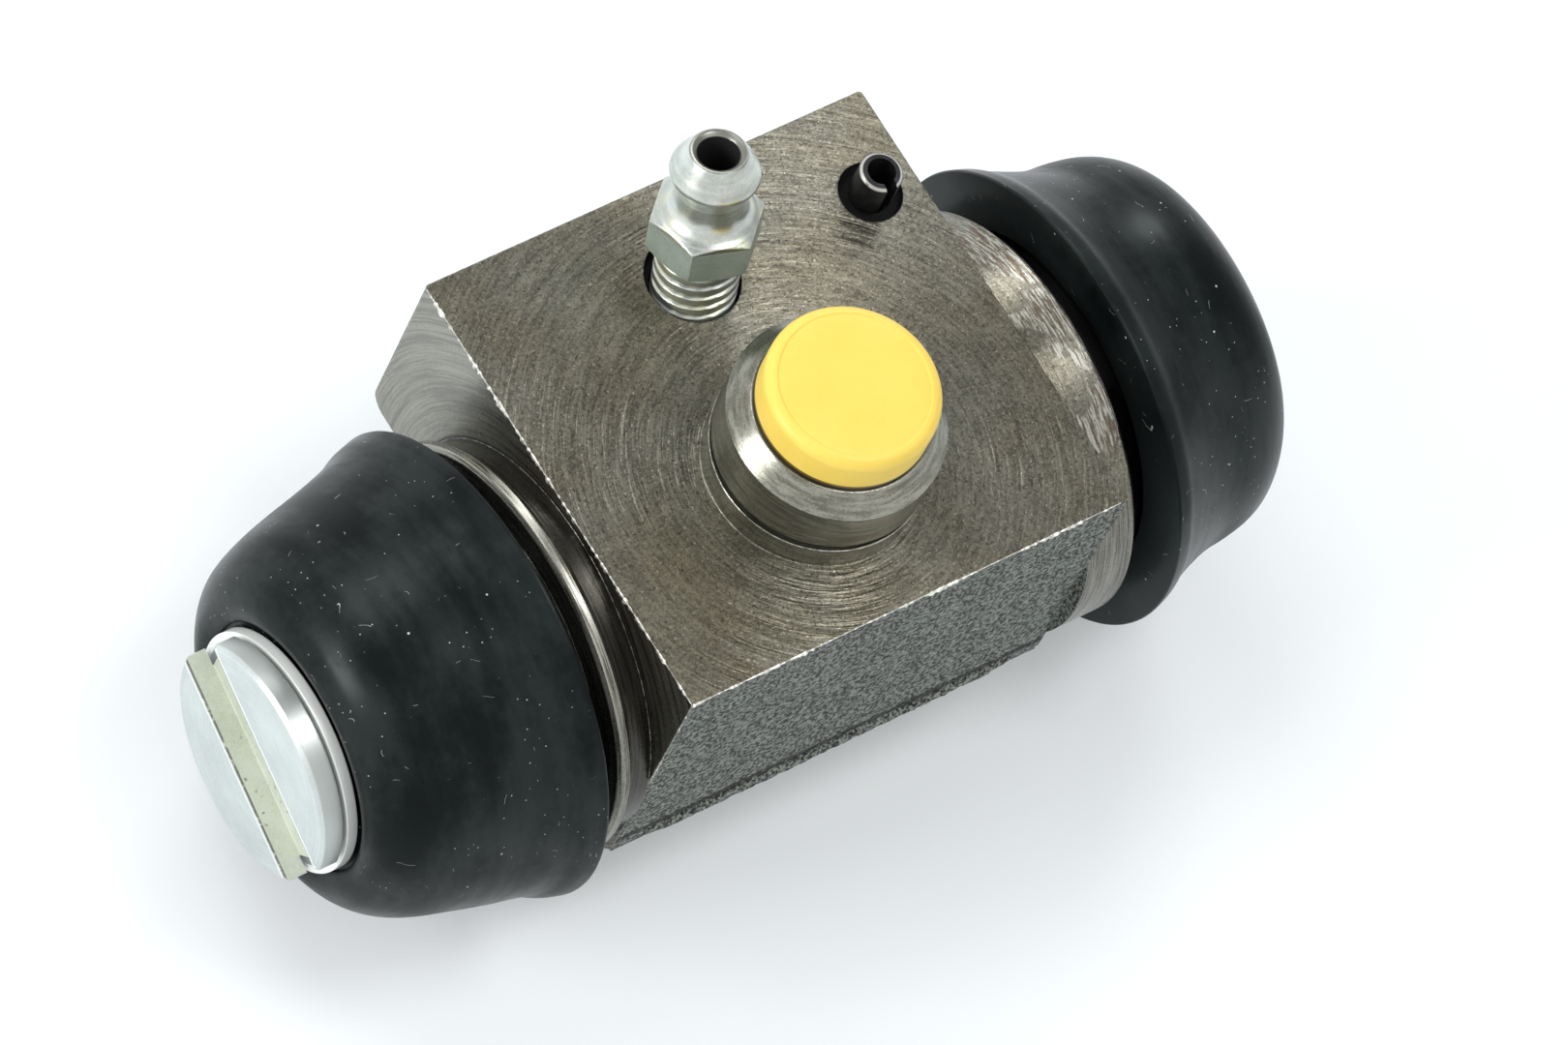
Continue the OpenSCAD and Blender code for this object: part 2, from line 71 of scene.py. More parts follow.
class Wire:
    """An output socket of a shader node. Arithmetic on it adds Math nodes to its tree."""

    def __init__(self, socket):
        self.socket = socket
        self.tree = socket.id_data

    def node(self, kind, settings, sockets, out=0):
        """Adds a node of any kind: its settings first, then the values or wires of its sockets."""
        made = self.tree.nodes.new("ShaderNode" + kind)
        for name, value in settings.items():
            setattr(made, name, value)
        for name, value in sockets.items():
            if isinstance(value, Wire):
                self.tree.links.new(value.socket, made.inputs[name])
            else:
                made.inputs[name].default_value = value
        return Wire(made.outputs[out])

    def maths(self, operation, *values):
        return self.node("Math", {"operation": operation}, dict(enumerate(values)))

    def __add__(self, other):
        return self.maths("ADD", self, other)

    def __radd__(self, other):
        return self.maths("ADD", other, self)

    def __sub__(self, other):
        return self.maths("SUBTRACT", self, other)

    def __rsub__(self, other):
        return self.maths("SUBTRACT", other, self)

    def __mul__(self, other):
        return self.maths("MULTIPLY", self, other)

    def __rmul__(self, other):
        return self.maths("MULTIPLY", other, self)

    def __truediv__(self, other):
        return self.maths("DIVIDE", self, other)

    def __rtruediv__(self, other):
        return self.maths("DIVIDE", other, self)

    def __pow__(self, other):
        return self.maths("POWER", self, other)

    def __gt__(self, other):
        return self.maths("GREATER_THAN", self, other)

    def __lt__(self, other):
        return self.maths("LESS_THAN", self, other)

    def __abs__(self):
        return self.maths("ABSOLUTE", self)

    def __or__(self, other):
        return self.maths("MAXIMUM", self, other)

    def __and__(self, other):
        return self.maths("MINIMUM", self, other)

    def rise(self, low, high):
        """0 at low and 1 at high, with a smooth change between them."""
        return self.node("MapRange", {"interpolation_type": "SMOOTHSTEP"},
                         {"Value": self, "From Min": low, "From Max": high})

    def tint(self, bare, full):
        """Mixes two colours, with this wire as the share of the second."""
        bare, full = (c if isinstance(c, Wire) else (*c, 1) for c in (bare, full))
        return self.node("Mix", {"data_type": "RGBA"}, {0: self, 6: bare, 7: full}, 2)

    def grain(self, scale, detail=3, roughness=0.6):
        """Noise over this place, with so many grains a millimetre."""
        return self.node("TexNoise", {}, {
            "Vector": self, "Scale": scale, "Detail": detail, "Roughness": roughness}, "Fac")

    def feed(self, shader, socket):
        self.tree.links.new(self.socket, shader.inputs[socket])


def new_finish(name, **fixed):
    """A finish, its shader with its fixed values, and the place on the piece in millimetres."""
    finish = bpy.data.materials.new(name)
    finish.use_nodes = True
    shader = finish.node_tree.nodes["Principled BSDF"]
    for socket, value in fixed.items():
        shader.inputs[socket.replace("_", " ")].default_value = value
    metres = Wire(finish.node_tree.nodes.new("ShaderNodeTexCoord").outputs["Object"])
    place = metres.node("VectorMath", {"operation": "SCALE"}, {0: metres, "Scale": 1000})
    return finish, shader, place


def axes_of(place):
    return [place.node("SeparateXYZ", {}, {0: place}, axis) for axis in "XYZ"]


def span(a, b):
    return (a * a + b * b) ** 0.5


def edge_wear_and_highlight(place, radius):
    """The normal rounded by so many millimetres near a piece's edges, and a mask that is 1 on them."""
    rounded = place.node("Bevel", {"samples": 6}, {"Radius": radius / 1000})
    flat = place.node("NewGeometry", {}, {}, "Normal")
    square = place.node("VectorMath", {"operation": "DOT_PRODUCT"}, {0: rounded, 1: flat}, "Value")
    return rounded, square.rise(0.99, 0.86)


def tool_marks(across, above, radius, along, lobes, pitch):
    """Grain drawn out into arcs about an axis, as a cutting tool leaves it."""
    drawn = radius.node("CombineXYZ", {}, {
        0: across / radius * lobes, 1: above / radius * lobes, 2: along * pitch})
    return drawn.grain(1, 4, 0.65)


def relief(shader, height, depth, strength, rounded=None):
    """Gives the shader a bump of so many millimetres, over the rounded normal where there is one."""
    sockets = {"Strength": strength, "Distance": depth / 1000, "Height": height}
    if rounded:
        sockets["Normal"] = rounded
    height.node("Bump", {}, sockets).feed(shader, "Normal")


def dress(node, finish):
    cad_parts[node].material_slots[0].material = finish


iron, iron_shader, place = new_finish("machined_cast_iron", Specular_IOR_Level=0.4)
x, y, z = axes_of(place)
across, above = y - bore_y, z - bore_z
from_bore, from_spigot = span(across, above), span(x, y)
on_face, on_spigot = z > -slack, z > slack
at_left, at_right = x < block_left + slack, x > block_right - right_slack
turned = at_left | at_right
# Painted shade: the walls of the bleed and pin holes are coloured near black.
painted_hole_shade = (span(x - bleed_mouth[0], y - bleed_mouth[1]) < bleed_mouth[2]) | (
    span(x - pin_mouth[0], y - pin_mouth[1]) < pin_mouth[2])
painted_hole_shade = painted_hole_shade * (z < -slack) * (z > hole_floor)

grit = place.grain(2.9, 5, 0.75)
fine = place.grain(6.5, 3, 0.65)
lumps = place.grain(0.5, 3, 0.6)
stain = place.grain(0.13, 2, 0.5)
face_rings = tool_marks(x, y, from_spigot, from_spigot, 5, 4.2)
spigot_rings = tool_marks(x, y, from_spigot, from_spigot * 1.3 + z * 0.7, 2.5, 6)
end_rings = tool_marks(across, above, from_bore, from_bore + x, 2.2, 6.5)
end_streaks = tool_marks(across, above, from_bore, from_bore + x, 1.6, 2.2)

# The sides keep the sand's grain, with a dark line of painted shadow over the flash along the foot of
# the front.
sand = place.grain(4.2, 2, 0.55)
cast = (sand * 0.65 + grit * 0.35).rise(0.42, 0.60)
cast = lumps.rise(0.35, 0.65).tint(
    cast.tint((0.013, 0.015, 0.014), (0.272, 0.300, 0.270)),
    cast.tint((0.017, 0.019, 0.017), (0.300, 0.318, 0.280)))
# Painted shadow: a dark broken line just over the flash, where its undercut lies in shade.
sway = (place.grain(0.6, 2, 0.5) - 0.5) * 0.6
painted_undercut_shadow = abs(above + shadow_line_drop + sway).rise(0.50, 0.30) * grit.rise(0.42, 0.47)
painted_undercut_shadow = (y < block_front + slack) * painted_undercut_shadow
cast = (painted_undercut_shadow * 0.92).tint(cast, (0.006, 0.006, 0.006))

# The cuts open the iron's grain, so the face has pale flecks, dark pits and nicks along its rings.
face = (grit * 0.30 + fine * 0.30 + face_rings * 0.28 + lumps * 0.12).rise(0.41, 0.59)
face = stain.rise(0.35, 0.65).tint(
    face.tint((0.092, 0.085, 0.062), (0.252, 0.234, 0.176)),
    face.tint((0.102, 0.099, 0.079), (0.260, 0.251, 0.202)))
face = (place.grain(4.6, 2, 0.5).rise(0.61, 0.69) * 0.75).tint(face, (0.44, 0.41, 0.33))
face = (place.grain(3.9, 2, 0.5).rise(0.38, 0.31) * 0.75).tint(face, (0.036, 0.032, 0.024))
nicks = tool_marks(x, y, from_spigot, from_spigot, 9, 5.5)
face = (nicks.rise(0.37, 0.31) * 0.8).tint(face, (0.030, 0.026, 0.020))
spigot = (spigot_rings * 0.7 + fine * 0.3).rise(0.38, 0.62).tint(
    (0.150, 0.150, 0.120), (0.340, 0.340, 0.290))

# The left end is turned down in steps: a relief next to the block, darkened with painted shade, and a
# land by the neck, lightened on its top with a painted highlight.
ends = (end_rings * 0.55 + end_streaks * 0.25 + fine * 0.2).rise(0.40, 0.60).tint(
    (0.085, 0.081, 0.066), (0.260, 0.255, 0.220))
ends = (at_left * end_streaks.rise(0.46, 0.38) * 0.75).tint(ends, (0.022, 0.020, 0.016))
# Painted reflection: the left end is lightened towards its back, where it mirrors the bright room.
ends = (at_left * across.rise(9, 14) * 0.4).tint(ends, (0.42, 0.42, 0.37))
# Painted shade: the relief's groove is darkened as if in shadow.
painted_relief_shade = from_bore.rise(relief_r, relief_r - 0.3) * (x > relief_end) * at_left
ends = (painted_relief_shade * 0.8).tint(ends, (0.018, 0.016, 0.013))
# Painted highlight: the land's top is lightened where it would catch the light.
land = at_left * (x < relief_end) * above.rise(8, 14) * end_rings.rise(0.40, 0.55)
ends = (land * 0.8).tint(ends, (0.58, 0.57, 0.50))

# The right end is only skimmed, so light and brown streaks of the cast skin are left on its top.
skim = tool_marks(across, above, from_bore, x, 9, 6)
patch = at_right * place.grain(0.24, 2, 0.5).rise(0.49, 0.53) * above.rise(10, 12.5)
ends = (at_right * above.rise(7, 12) * 0.8).tint(ends, face)
ends = (patch * skim.rise(0.50, 0.55) * 0.9).tint(ends, (0.52, 0.51, 0.45))
ends = (patch * skim.rise(0.45, 0.40)).tint(ends, (0.13, 0.085, 0.055))
# Painted shade: the necks under the boots are coloured near black.
ends = ((x < neck_left) | (x > neck_right)).tint(ends, (0.006, 0.006, 0.006))

colour = turned.tint(on_face.tint(cast, on_spigot.tint(face, spigot)), ends)
rounded, edge = edge_wear_and_highlight(place, 0.14)
worn = edge * place.grain(1.6, 3, 0.7).rise(0.40, 0.58) * (0.35 + 0.5 * on_spigot) * (x < worn_end)
colour = worn.tint(colour, (0.74, 0.73, 0.66))
painted_hole_shade.tint(colour, (0.008, 0.008, 0.009)).feed(iron_shader, "Base Color")
cut = on_face | turned
shine = on_spigot | turned
(0.10 + cut * 0.74 + shine * 0.08 - patch * 0.5).feed(iron_shader, "Metallic")
(0.72 - cut * 0.49 - on_spigot * 0.05 + grit * 0.10 + painted_hole_shade * 0.3).feed(iron_shader, "Roughness")
faced = on_face * (1 - on_spigot)
height = (1 - cut) * (sand * 0.8 + grit * 0.6 + lumps * 0.5)
height = height + faced * (face_rings * 0.40 + grit * 0.12) + shine * (end_rings * 0.16)
# The tool's fine grooves tilt the face's skin towards and away from the spigot, so it shines in a fan.
lay = (tool_marks(x, y, from_spigot, from_spigot, 2.5, 28) - 0.5) * 2.1 * faced
lay = place.node("CombineXYZ", {}, {0: x / from_spigot * lay, 1: y / from_spigot * lay})
lay = place.node("VectorMath", {"operation": "ADD"}, {0: rounded, 1: lay})
lay = place.node("VectorMath", {"operation": "NORMALIZE"}, {0: lay})
relief(iron_shader, height, 0.12, 0.75, lay)
dress("housing", iron)

# Burr and parting flash of the housing: the facing cut turns up a thin bright burr on the left and
# front edges of the face, and the two halves of the mould leave a ragged ridge along the foot of the
# front flat.
burr_step = 0.1
corner, burr_foot = (block_left, block_front, 0), (block_left, block_front, -12)
burr_back, burr_right = (block_left, block_back - 0.3, 0), (block_right - 0.6, block_front, 0)


def new_piece(name, form, finish):
    """A shown piece from a finished bmesh, smooth but for its sharp edges."""
    bmesh.ops.recalc_face_normals(form, faces=form.faces)
    mesh = bpy.data.meshes.new(name)
    form.to_mesh(mesh)
    form.free()
    mesh.shade_smooth()
    mesh.set_sharp_from_angle(angle=math.radians(32))
    mesh.materials.append(finish)
    piece = bpy.data.objects.new(name, mesh)
    bpy.context.scene.collection.objects.link(piece)
    return piece


def join_rings(form, rings, looped=False):
    """Skins the rings in order, and the last to the first where looped. One vertex closes an end."""
    pairs = zip(rings, rings[1:] + rings[:1]) if looped else zip(rings, rings[1:])
    for near, far in pairs:
        count = max(len(near), len(far))
        for k in range(count):
            n = (k + 1) % count
            corners = [near[k % len(near)], near[n % len(near)], far[n % len(far)], far[k % len(far)]]
            form.faces.new(list(dict.fromkeys(corners)))


def rough_strip(form, begin, end, step, outline):
    """A strip along a straight edge. The outline gives its section's points at a share of the way."""
    begin, end = Vector(begin), Vector(end)
    count = int((end - begin).length / step)
    rings = []
    for i in range(count + 1):
        middle = begin.lerp(end, i / count)
        points = outline(i / count, middle)
        rings.append([form.verts.new((middle + Vector(point)) / 1000) for point in points])
    form.faces.new(rings[0])
    form.faces.new(rings[-1])
    join_rings(form, rings)


burr_bright, burr_shader, place = new_finish("turned_up_burr", Metallic=0.9)
torn = place.grain(2.2, 3, 0.6).rise(0.35, 0.62)
torn.tint((0.42, 0.41, 0.36), (0.90, 0.88, 0.82)).feed(burr_shader, "Base Color")
(0.28 + place.grain(5, 2, 0.5) * 0.25).feed(burr_shader, "Roughness")


def burr_outline(side, lift, size):
    """Section of a burr that leans towards the side and up, ragged along its way."""
    side, lift = Vector(side), Vector(lift)

    def outline(share, middle):
        ragged = 0.42 + 1.1 * noise.noise(middle * 0.8) + 1.1 * noise.noise(middle * 2.9)
        tall = size * min(max(ragged, 0.10), 1.3) * min(1, 12 * (1 - share) + 0.2)
        return [side * -0.02, lift * tall * 0.9 - side * tall * 0.15,
                lift * tall * 0.7 + side * tall * 0.55, side * tall * 0.9 - lift * tall * 0.3,
                lift * -0.08]
    return outline


form = bmesh.new()
rough_strip(form, burr_back, corner, burr_step, burr_outline((-1, 0, 0), (0, 0, 1), 0.19))
rough_strip(form, corner, burr_right, burr_step, burr_outline((0, -1, 0), (0, 0, 1), 0.15))
rough_strip(form, corner, burr_foot, burr_step, burr_outline((-1, 0, 0), (0, -1, 0), 0.09))
burr = new_piece("face_edge_burr", form, burr_bright)
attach(burr, "housing_body")

flash_z, flash_step = -21.45, 0.16
flash_section = (
    (-0.20, 0.0), (0.05, 0.20), (0.22, 0.42), (0.32, 0.70),
    (0.32, 0.95), (0.20, 1.25), (-0.05, 1.5), (-0.6, 1.7))


def flash_outline(share, middle):
    """Section of the flash: it leaves the flat at the top, stands out and turns back under."""
    taper = min(1, share * 8, (1 - share) * 8)
    points = []
    for out, down in flash_section:
        ragged = noise.noise(Vector((middle.x * 1.3, out * 4, down * 3)))
        ragged += 0.6 * noise.noise(Vector((middle.x * 3.7, out * 5, 7)))
        stand = (out + 0.12 * ragged) * taper - 0.2 * (1 - taper) if out > 0 else out
        points.append((0.0, -stand, -down + 0.12 * ragged))
    return points


flash_left = (block_left + 0.15, block_front, flash_z)
flash_right = (block_right - 0.05, block_front, flash_z)
form = bmesh.new()
rough_strip(form, flash_left, flash_right, flash_step, flash_outline)
flash = new_piece("parting_flash", form, iron)
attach(flash, "housing_body")

# Return spring: one coil of drawn steel wire, held between the cup expanders, that keeps the pistons'
# seals apart. It is shown in two halves.
coil_r, wire_r, spring_turns = 4.5, 0.5, 6
spring_from, spring_to = -14.20, 12.80
coil_steps, wire_steps = 108, 12


def about_bore(along, r, turn):
    """The point, in metres, at a radius and a turn about the bore's axis."""
    return Vector((along, bore_y + r * math.cos(turn), bore_z + r * math.sin(turn))) / 1000


steel, steel_shader, place = new_finish("drawn_spring_wire", Metallic=1.0)
draw = place.grain(1.2, 4, 0.7)
draw.rise(0.35, 0.65).tint((0.20, 0.21, 0.22), (0.42, 0.43, 0.45)).feed(steel_shader, "Base Color")
(0.25 + draw * 0.2).feed(steel_shader, "Roughness")
for side, begin, end in (("left", 0.0, 0.5), ("right", 0.5, 1.0)):
    form = bmesh.new()
    rings = []
    for i in range(coil_steps + 1):
        share = begin + (end - begin) * i / coil_steps
        turn = math.tau * spring_turns * share
        along = spring_from + (spring_to - spring_from) * share
        ring = []
        for k in range(wire_steps):
            about = math.tau * k / wire_steps
            r = coil_r + wire_r * math.cos(about)
            ring.append(form.verts.new(about_bore(along + wire_r * math.sin(about), r, turn)))
        rings.append(ring)
    form.faces.new(rings[0])
    form.faces.new(rings[-1])
    join_rings(form, rings)
    coil = new_piece(side + "_half_coil", form, steel)
    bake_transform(coil)
    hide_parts("return_spring")

# Cup expanders: two dishes pressed from sheet steel and passivated yellow. Each lies loose in the mouth
# of a piston cup, where the spring's end holds it and it spreads the cup's lip against the bore.
dish, dish_shader, place = new_finish("passivated_dish", Metallic=1.0)
film = place.grain(0.5, 3, 0.6)
film.rise(0.35, 0.65).tint((0.50, 0.44, 0.24), (0.66, 0.63, 0.46)).feed(dish_shader, "Base Color")
(0.28 + place.grain(3, 3, 0.6) * 0.2).feed(dish_shader, "Roughness")
for side in ("left", "right"):
    dress(side + "_cup_expander", dish)

# Piston cups: two seals moulded in black rubber, wet with fluid. Each lies loose behind its piston with
# the lip towards the fluid, so that pressure pushes it against the bore.
seal, seal_shader, place = new_finish("seal_rubber", Specular_IOR_Level=0.45)
place.grain(1.5, 4, 0.6).rise(0.35, 0.65).tint((0.010, 0.010, 0.011), (0.024, 0.024, 0.025)).feed(
    seal_shader, "Base Color")
(0.24 + place.grain(4, 3, 0.6) * 0.2).feed(seal_shader, "Roughness")
for side in ("left", "right"):
    dress(side + "_piston_cup", seal)

# Pistons: two turned steel pistons, plated with zinc and passivated. Each has a slot across its nose
# for the shoe's web, and a thin flange that keeps the boot's lip in its groove.
left_face, right_face = -39.8, 38.4
slot_half, slot_depth = 2.67, 1.9
left_slot_turn, right_slot_turn = math.radians(18.8), math.radians(-9)
nose_r, nose_from, nose_to = 8.4, 0.25, 1.75
collar_r, collar_from, collar_to = 8.2, 1.9, 2.9
plate, plate_shader, place = new_finish("zinc_plate")
x, y, z = axes_of(place)
across, above = y - bore_y, z - bore_z
from_bore = span(across, above) + 0.01
from_end = (x - left_face) & (right_face - x)
on_left = x < 0
from_slot = (above * math.cos(left_slot_turn) - across * math.sin(left_slot_turn)) * on_left + (
    above * math.cos(right_slot_turn) - across * math.sin(right_slot_turn)) * (1 - on_left)
in_slot = (abs(from_slot) < slot_half) * (from_end > slack) * (from_end < slot_depth)
cloud = place.grain(0.3, 3, 0.55)
fine = place.grain(5, 3, 0.7)
lathe = tool_marks(across, above, from_bore, from_bore + x, 2, 5)
zinc = (cloud * 0.35 + fine * 0.30 + lathe * 0.35).rise(0.34, 0.66).tint(
    (0.53, 0.575, 0.562), (0.66, 0.705, 0.70))
on_nose = (from_bore > nose_r) * (from_end > nose_from) * (from_end < nose_to)
zinc = (on_nose * 0.8).tint(zinc, (0.47, 0.50, 0.48))
on_collar = (from_bore > collar_r) * (from_end > collar_from) * (from_end < collar_to)
zinc = on_collar.tint(zinc, (0.86, 0.89, 0.86))
slot_film = (cloud * 0.6 + fine * 0.4).rise(0.36, 0.64).tint((0.56, 0.60, 0.50), (0.70, 0.74, 0.65))
slot_grime = place.grain(2.6, 3, 0.6).rise(0.63, 0.70) * abs(across).rise(5, 2)
slot_film = (slot_grime * 0.8).tint(slot_film, (0.16, 0.16, 0.13))
zinc = in_slot.tint(zinc, slot_film)
# Painted highlight along the slot's lips, and painted shadow of the slot's wall just inside them.
from_lip = abs(from_slot) - slot_half
lip_highlight = (abs(from_lip - 0.14) < 0.09) * (from_end < 0.1)
zinc = (lip_highlight * 0.9).tint(zinc, (0.97, 0.98, 0.96))
lip_shadow = (abs(from_lip) < 0.05) * (from_end < 0.2) * place.grain(1.7, 3, 0.65).rise(0.34, 0.46)
zinc = (lip_shadow * 0.85).tint(zinc, (0.12, 0.12, 0.10))
rounded, edge = edge_wear_and_highlight(place, 0.12)
# Painted highlight: the piston's edges are lightened near white.
(edge * 0.8).tint(zinc, (0.93, 0.94, 0.92)).feed(plate_shader, "Base Color")
(0.88 - (in_slot | on_collar) * 0.6).feed(plate_shader, "Metallic")
(0.28 + fine * 0.12 + in_slot * 0.16).feed(plate_shader, "Roughness")
relief(plate_shader, lathe * 0.5 + fine * 0.3, 0.03, 0.4, rounded)
for side in ("left", "right"):
    dress(side + "_piston", plate)

# Boots: two moulded rubber dust boots. The bead of each snaps into the body's neck, and its lip into
# the piston's groove. The left one is pulled longer than the right.
boot_turns, curve_steps, nose_points = 144, 6, 14
body_middle, rim_reach = 1.2, 23.58
bead_r, bead_wide, boot_wall = 12.70, 2.5, 1.3
lip_r, lip_wide, mouth_r = 7.82, 1.8, 9.05


def curve_through(points, steps):
    """Points on a smooth line through the given ones."""
    line = []
    for i in range(len(points) - 1):
        a, b = points[max(i - 1, 0)], points[i]
        c, d = points[i + 1], points[min(i + 2, len(points) - 1)]
        for k in range(steps):
            t = k / steps
            line.append(tuple(
                b[n] + 0.5 * t * (c[n] - a[n] + t * (2 * a[n] - 5 * b[n] + 4 * c[n] - d[n] + t * (
                    3 * (b[n] - c[n]) + d[n] - a[n]))) for n in (0, 1)))
    return line + [points[-1]]


rubber, rubber_shader, place = new_finish(
    "satin_rubber", Specular_IOR_Level=0.115, Specular_Tint=(0.82, 1.0, 0.98, 1.0), Coat_Roughness=0.28)
x, y, z = axes_of(place)
across, above = y - bore_y, z - bore_z
from_bore = span(across, above) + 0.01
bloom = place.grain(0.13, 1, 0.5)
skin = place.grain(1.1, 4, 0.65)
wipe = tool_marks(across, above, from_bore, x, 1.2, 0.42)


def specks(place, scale, size, share):
    """Round specks of dust, on so large a share of the cells of a scattered pattern."""
    settings = {"Vector": place, "Scale": scale, "Randomness": 1.0}
    apart = place.node("TexVoronoi", {}, settings, "Distance")
    pick = place.node("TexVoronoi", {}, settings, "Color")
    pick = pick.node("SeparateXYZ", {}, {0: pick}, "X")
    return apart.rise(size, size * 0.5) * (pick > 1 - share)


dust = specks(place, 0.55, 0.062, 0.40) | (specks(place, 1.6, 0.105, 0.14) * bloom.rise(0.42, 0.56))
dust = dust | (specks(place, 3.2, 0.19, 0.10) * bloom.rise(0.48, 0.60))
hair = abs(place.grain(0.42, 1, 0.4) - 0.5).rise(0.0026, 0.0013)
dust = dust | (hair * place.grain(0.75, 1, 0.4).rise(0.66, 0.70))
sheen = (bloom * 0.45 + wipe * 0.40 + skin * 0.15).rise(0.40, 0.62)
black = sheen.tint((0.0026, 0.0038, 0.0040), (0.0122, 0.0156, 0.0156))
# The rims' faces carry a greyish bloom, kept off their upper part, which stays black as painted shade.
black = ((abs(x - body_middle) < rim_reach) * above.rise(16, 7)).tint(black, (0.026, 0.032, 0.033))
(dust * 0.9).tint(black, (0.55, 0.57, 0.54)).feed(rubber_shader, "Base Color")
(0.36 - sheen * 0.08 + skin * 0.06 + dust * 0.3).feed(rubber_shader, "Roughness")
(sheen * 0.16).feed(rubber_shader, "Coat Weight")
height = bloom * 0.3 + wipe * 0.4 + skin * 0.05 + dust * 0.25 + place.grain(6, 2, 0.5) * 0.03
relief(rubber_shader, height, 0.22, 0.5)

# Where each boot's rim lies, which way it runs along the bore, how far its lip is, and its outline.
boots = {
    "left": (-22.35, -1, 14.25, [
        (0.22, 16.92), (1.4, 16.58), (2.7, 15.98), (5.4, 15.28), (7.8, 14.72), (10.0, 14.18),
        (11.7, 13.58), (13.0, 12.86), (14.0, 11.94), (14.65, 10.92), (14.85, 10.15), (14.75, 9.45),
        (14.5, 9.05)]),
    "right": (24.75, 1, 10.45, [
        (0.22, 16.92), (1.2, 16.60), (2.2, 16.02), (4.4, 15.15), (6.4, 14.60), (8.3, 14.38),
        (9.9, 14.02), (11.2, 13.42), (12.25, 12.52), (12.95, 11.35), (13.12, 10.4), (13.02, 9.6),
        (12.75, 9.05)]),
}
boot_foot = [(0.05, bead_r), (0.0, 13.0), (0.0, 16.74), (0.03, 16.84), (0.10, 16.90)]
for side, (rim, way, lip, outline) in boots.items():
    outer = curve_through(outline, curve_steps)
    inner = [(max(along - 0.55, 3.9), r - boot_wall) for along, r in outline[2:8]]
    profile = boot_foot + outer + [(lip, mouth_r), (lip, lip_r), (lip - lip_wide, lip_r)]
    profile += [(lip - lip_wide, 9.7), (lip - 1.5, 10.4)] + inner[::-1] + [(bead_wide, bead_r)]
    soft_side = range(len(boot_foot), len(boot_foot) + len(outer) - nose_points)
    form = bmesh.new()
    rings = []
    for i, (along, r) in enumerate(profile):
        ring = []
        for k in range(boot_turns):
            turn = math.tau * k / boot_turns
            sway = 0.05 * math.sin(3 * turn + along * 0.5)
            sway += 0.035 * math.sin(5 * turn - along * 0.9 + 1.3)
            sway *= min(max((along - 0.8) / 3, 0), 1) if i in soft_side else 0
            ring.append(form.verts.new(about_bore(rim + way * along, r + sway, turn)))
        rings.append(ring)
    join_rings(form, rings, looped=True)
    boot = new_piece(side + "_rubber_boot", form, rubber)
    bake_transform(boot)
    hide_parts(side + "_boot")

# Bleed screw: a turned steel M6 screw, plated with zinc, with a cone seat, a 7 mm hexagon and a hose
# nipple. It is drilled down from the nipple, and leans back in its tapped hole.
screw_base = Vector((0.1, 15.182, 0.0))
screw_lean = math.radians(13)
pitch, crest, root = 1.0, 2.97, 2.64
thread_start, thread_step, thread_rings = -1.6, 0.065, 85
thread_end, screw_neck_r = 3.75, 2.76
hex_low, hex_high, hex_half = 4.2, 7.4, 3.5
hex_turn = math.radians(41)
drill_r, drill_end = 1.46, -2.99
screw_turns = 120


def thread_r(height, turn):
    """Radius of the thread, which fades into the plain neck under the hexagon."""
    valley = abs((height / pitch - turn / math.tau) % 1 - 0.5) * 2
    depth = min(max((valley - 0.55) / 0.36, 0), 1)
    fade = min(max((thread_end - height) / 0.5, 0), 1)
    return (crest - (crest - root) * depth) * fade + screw_neck_r * (1 - fade)


def hex_r(height, turn):
    """Radius of the hexagon, with a cone cut over both of its ends."""
    part = (turn - hex_turn + math.pi / 6) % (math.pi / 3) - math.pi / 6
    side = hex_half / math.cos(math.pi / 6 - abs(part))
    return min(side, hex_half + (hex_high - height) * 1.7, hex_half + 0.1 + (height - hex_low) * 1.7)


screw_rings = [(-6.72, 0), (-6.72, 0.78), (-4.92, 2.9), (-1.7, 2.9)]
screw_rings += [(thread_start + thread_step * i, thread_r) for i in range(thread_rings)]
screw_rings += [(4.05, screw_neck_r), (hex_low, 2.88)]
screw_rings += [(height, hex_r) for height in (
    hex_low, 4.26, 4.34, 4.42, 4.5, 5.5, 6.6, 7.05, 7.1, 7.16, 7.22, 7.28, 7.34, hex_high)]
screw_rings += curve_through(
    [(7.42, 3.48), (7.6, 3.14), (7.9, 2.83), (8.3, 2.60), (8.8, 2.48), (9.4, 2.45), (9.9, 2.47)], 4)
screw_rings += [
    (10.2, 2.57), (10.6, 2.75), (11.0, 2.94), (11.27, 3.06), (11.38, 3.10), (11.46, 3.11), (11.6, 3.10)]
screw_rings += curve_through(
    [(11.75, 3.05), (12.1, 2.86), (12.55, 2.58), (13.05, 2.28), (13.36, 2.08)], 4)
screw_rings += [(13.45, 2.02), (13.5, 1.94), (13.5, 1.78), (13.46, 1.70), (13.27, 1.48)]
screw_rings += [(13.2, drill_r), (drill_end, drill_r), (drill_end, 0)]
screw_stand = Matrix.Translation(screw_base) @ Matrix.Rotation(-screw_lean, 4, "X")


def turned_form(profile, turns, stand, first_turn):
    """Skins heights with their radii about the stand's axis. A radius may change with the turn."""
    form = bmesh.new()
    rings = []
    for along, size in profile:
        ring = []
        for k in range(turns if size else 1):
            turn = first_turn + math.tau * k / turns
            r = size(along, turn) if callable(size) else size
            spot = stand @ Vector((r * math.cos(turn), r * math.sin(turn), along))
            ring.append(form.verts.new(spot / 1000))
        rings.append(ring)
    join_rings(form, rings)
    return form


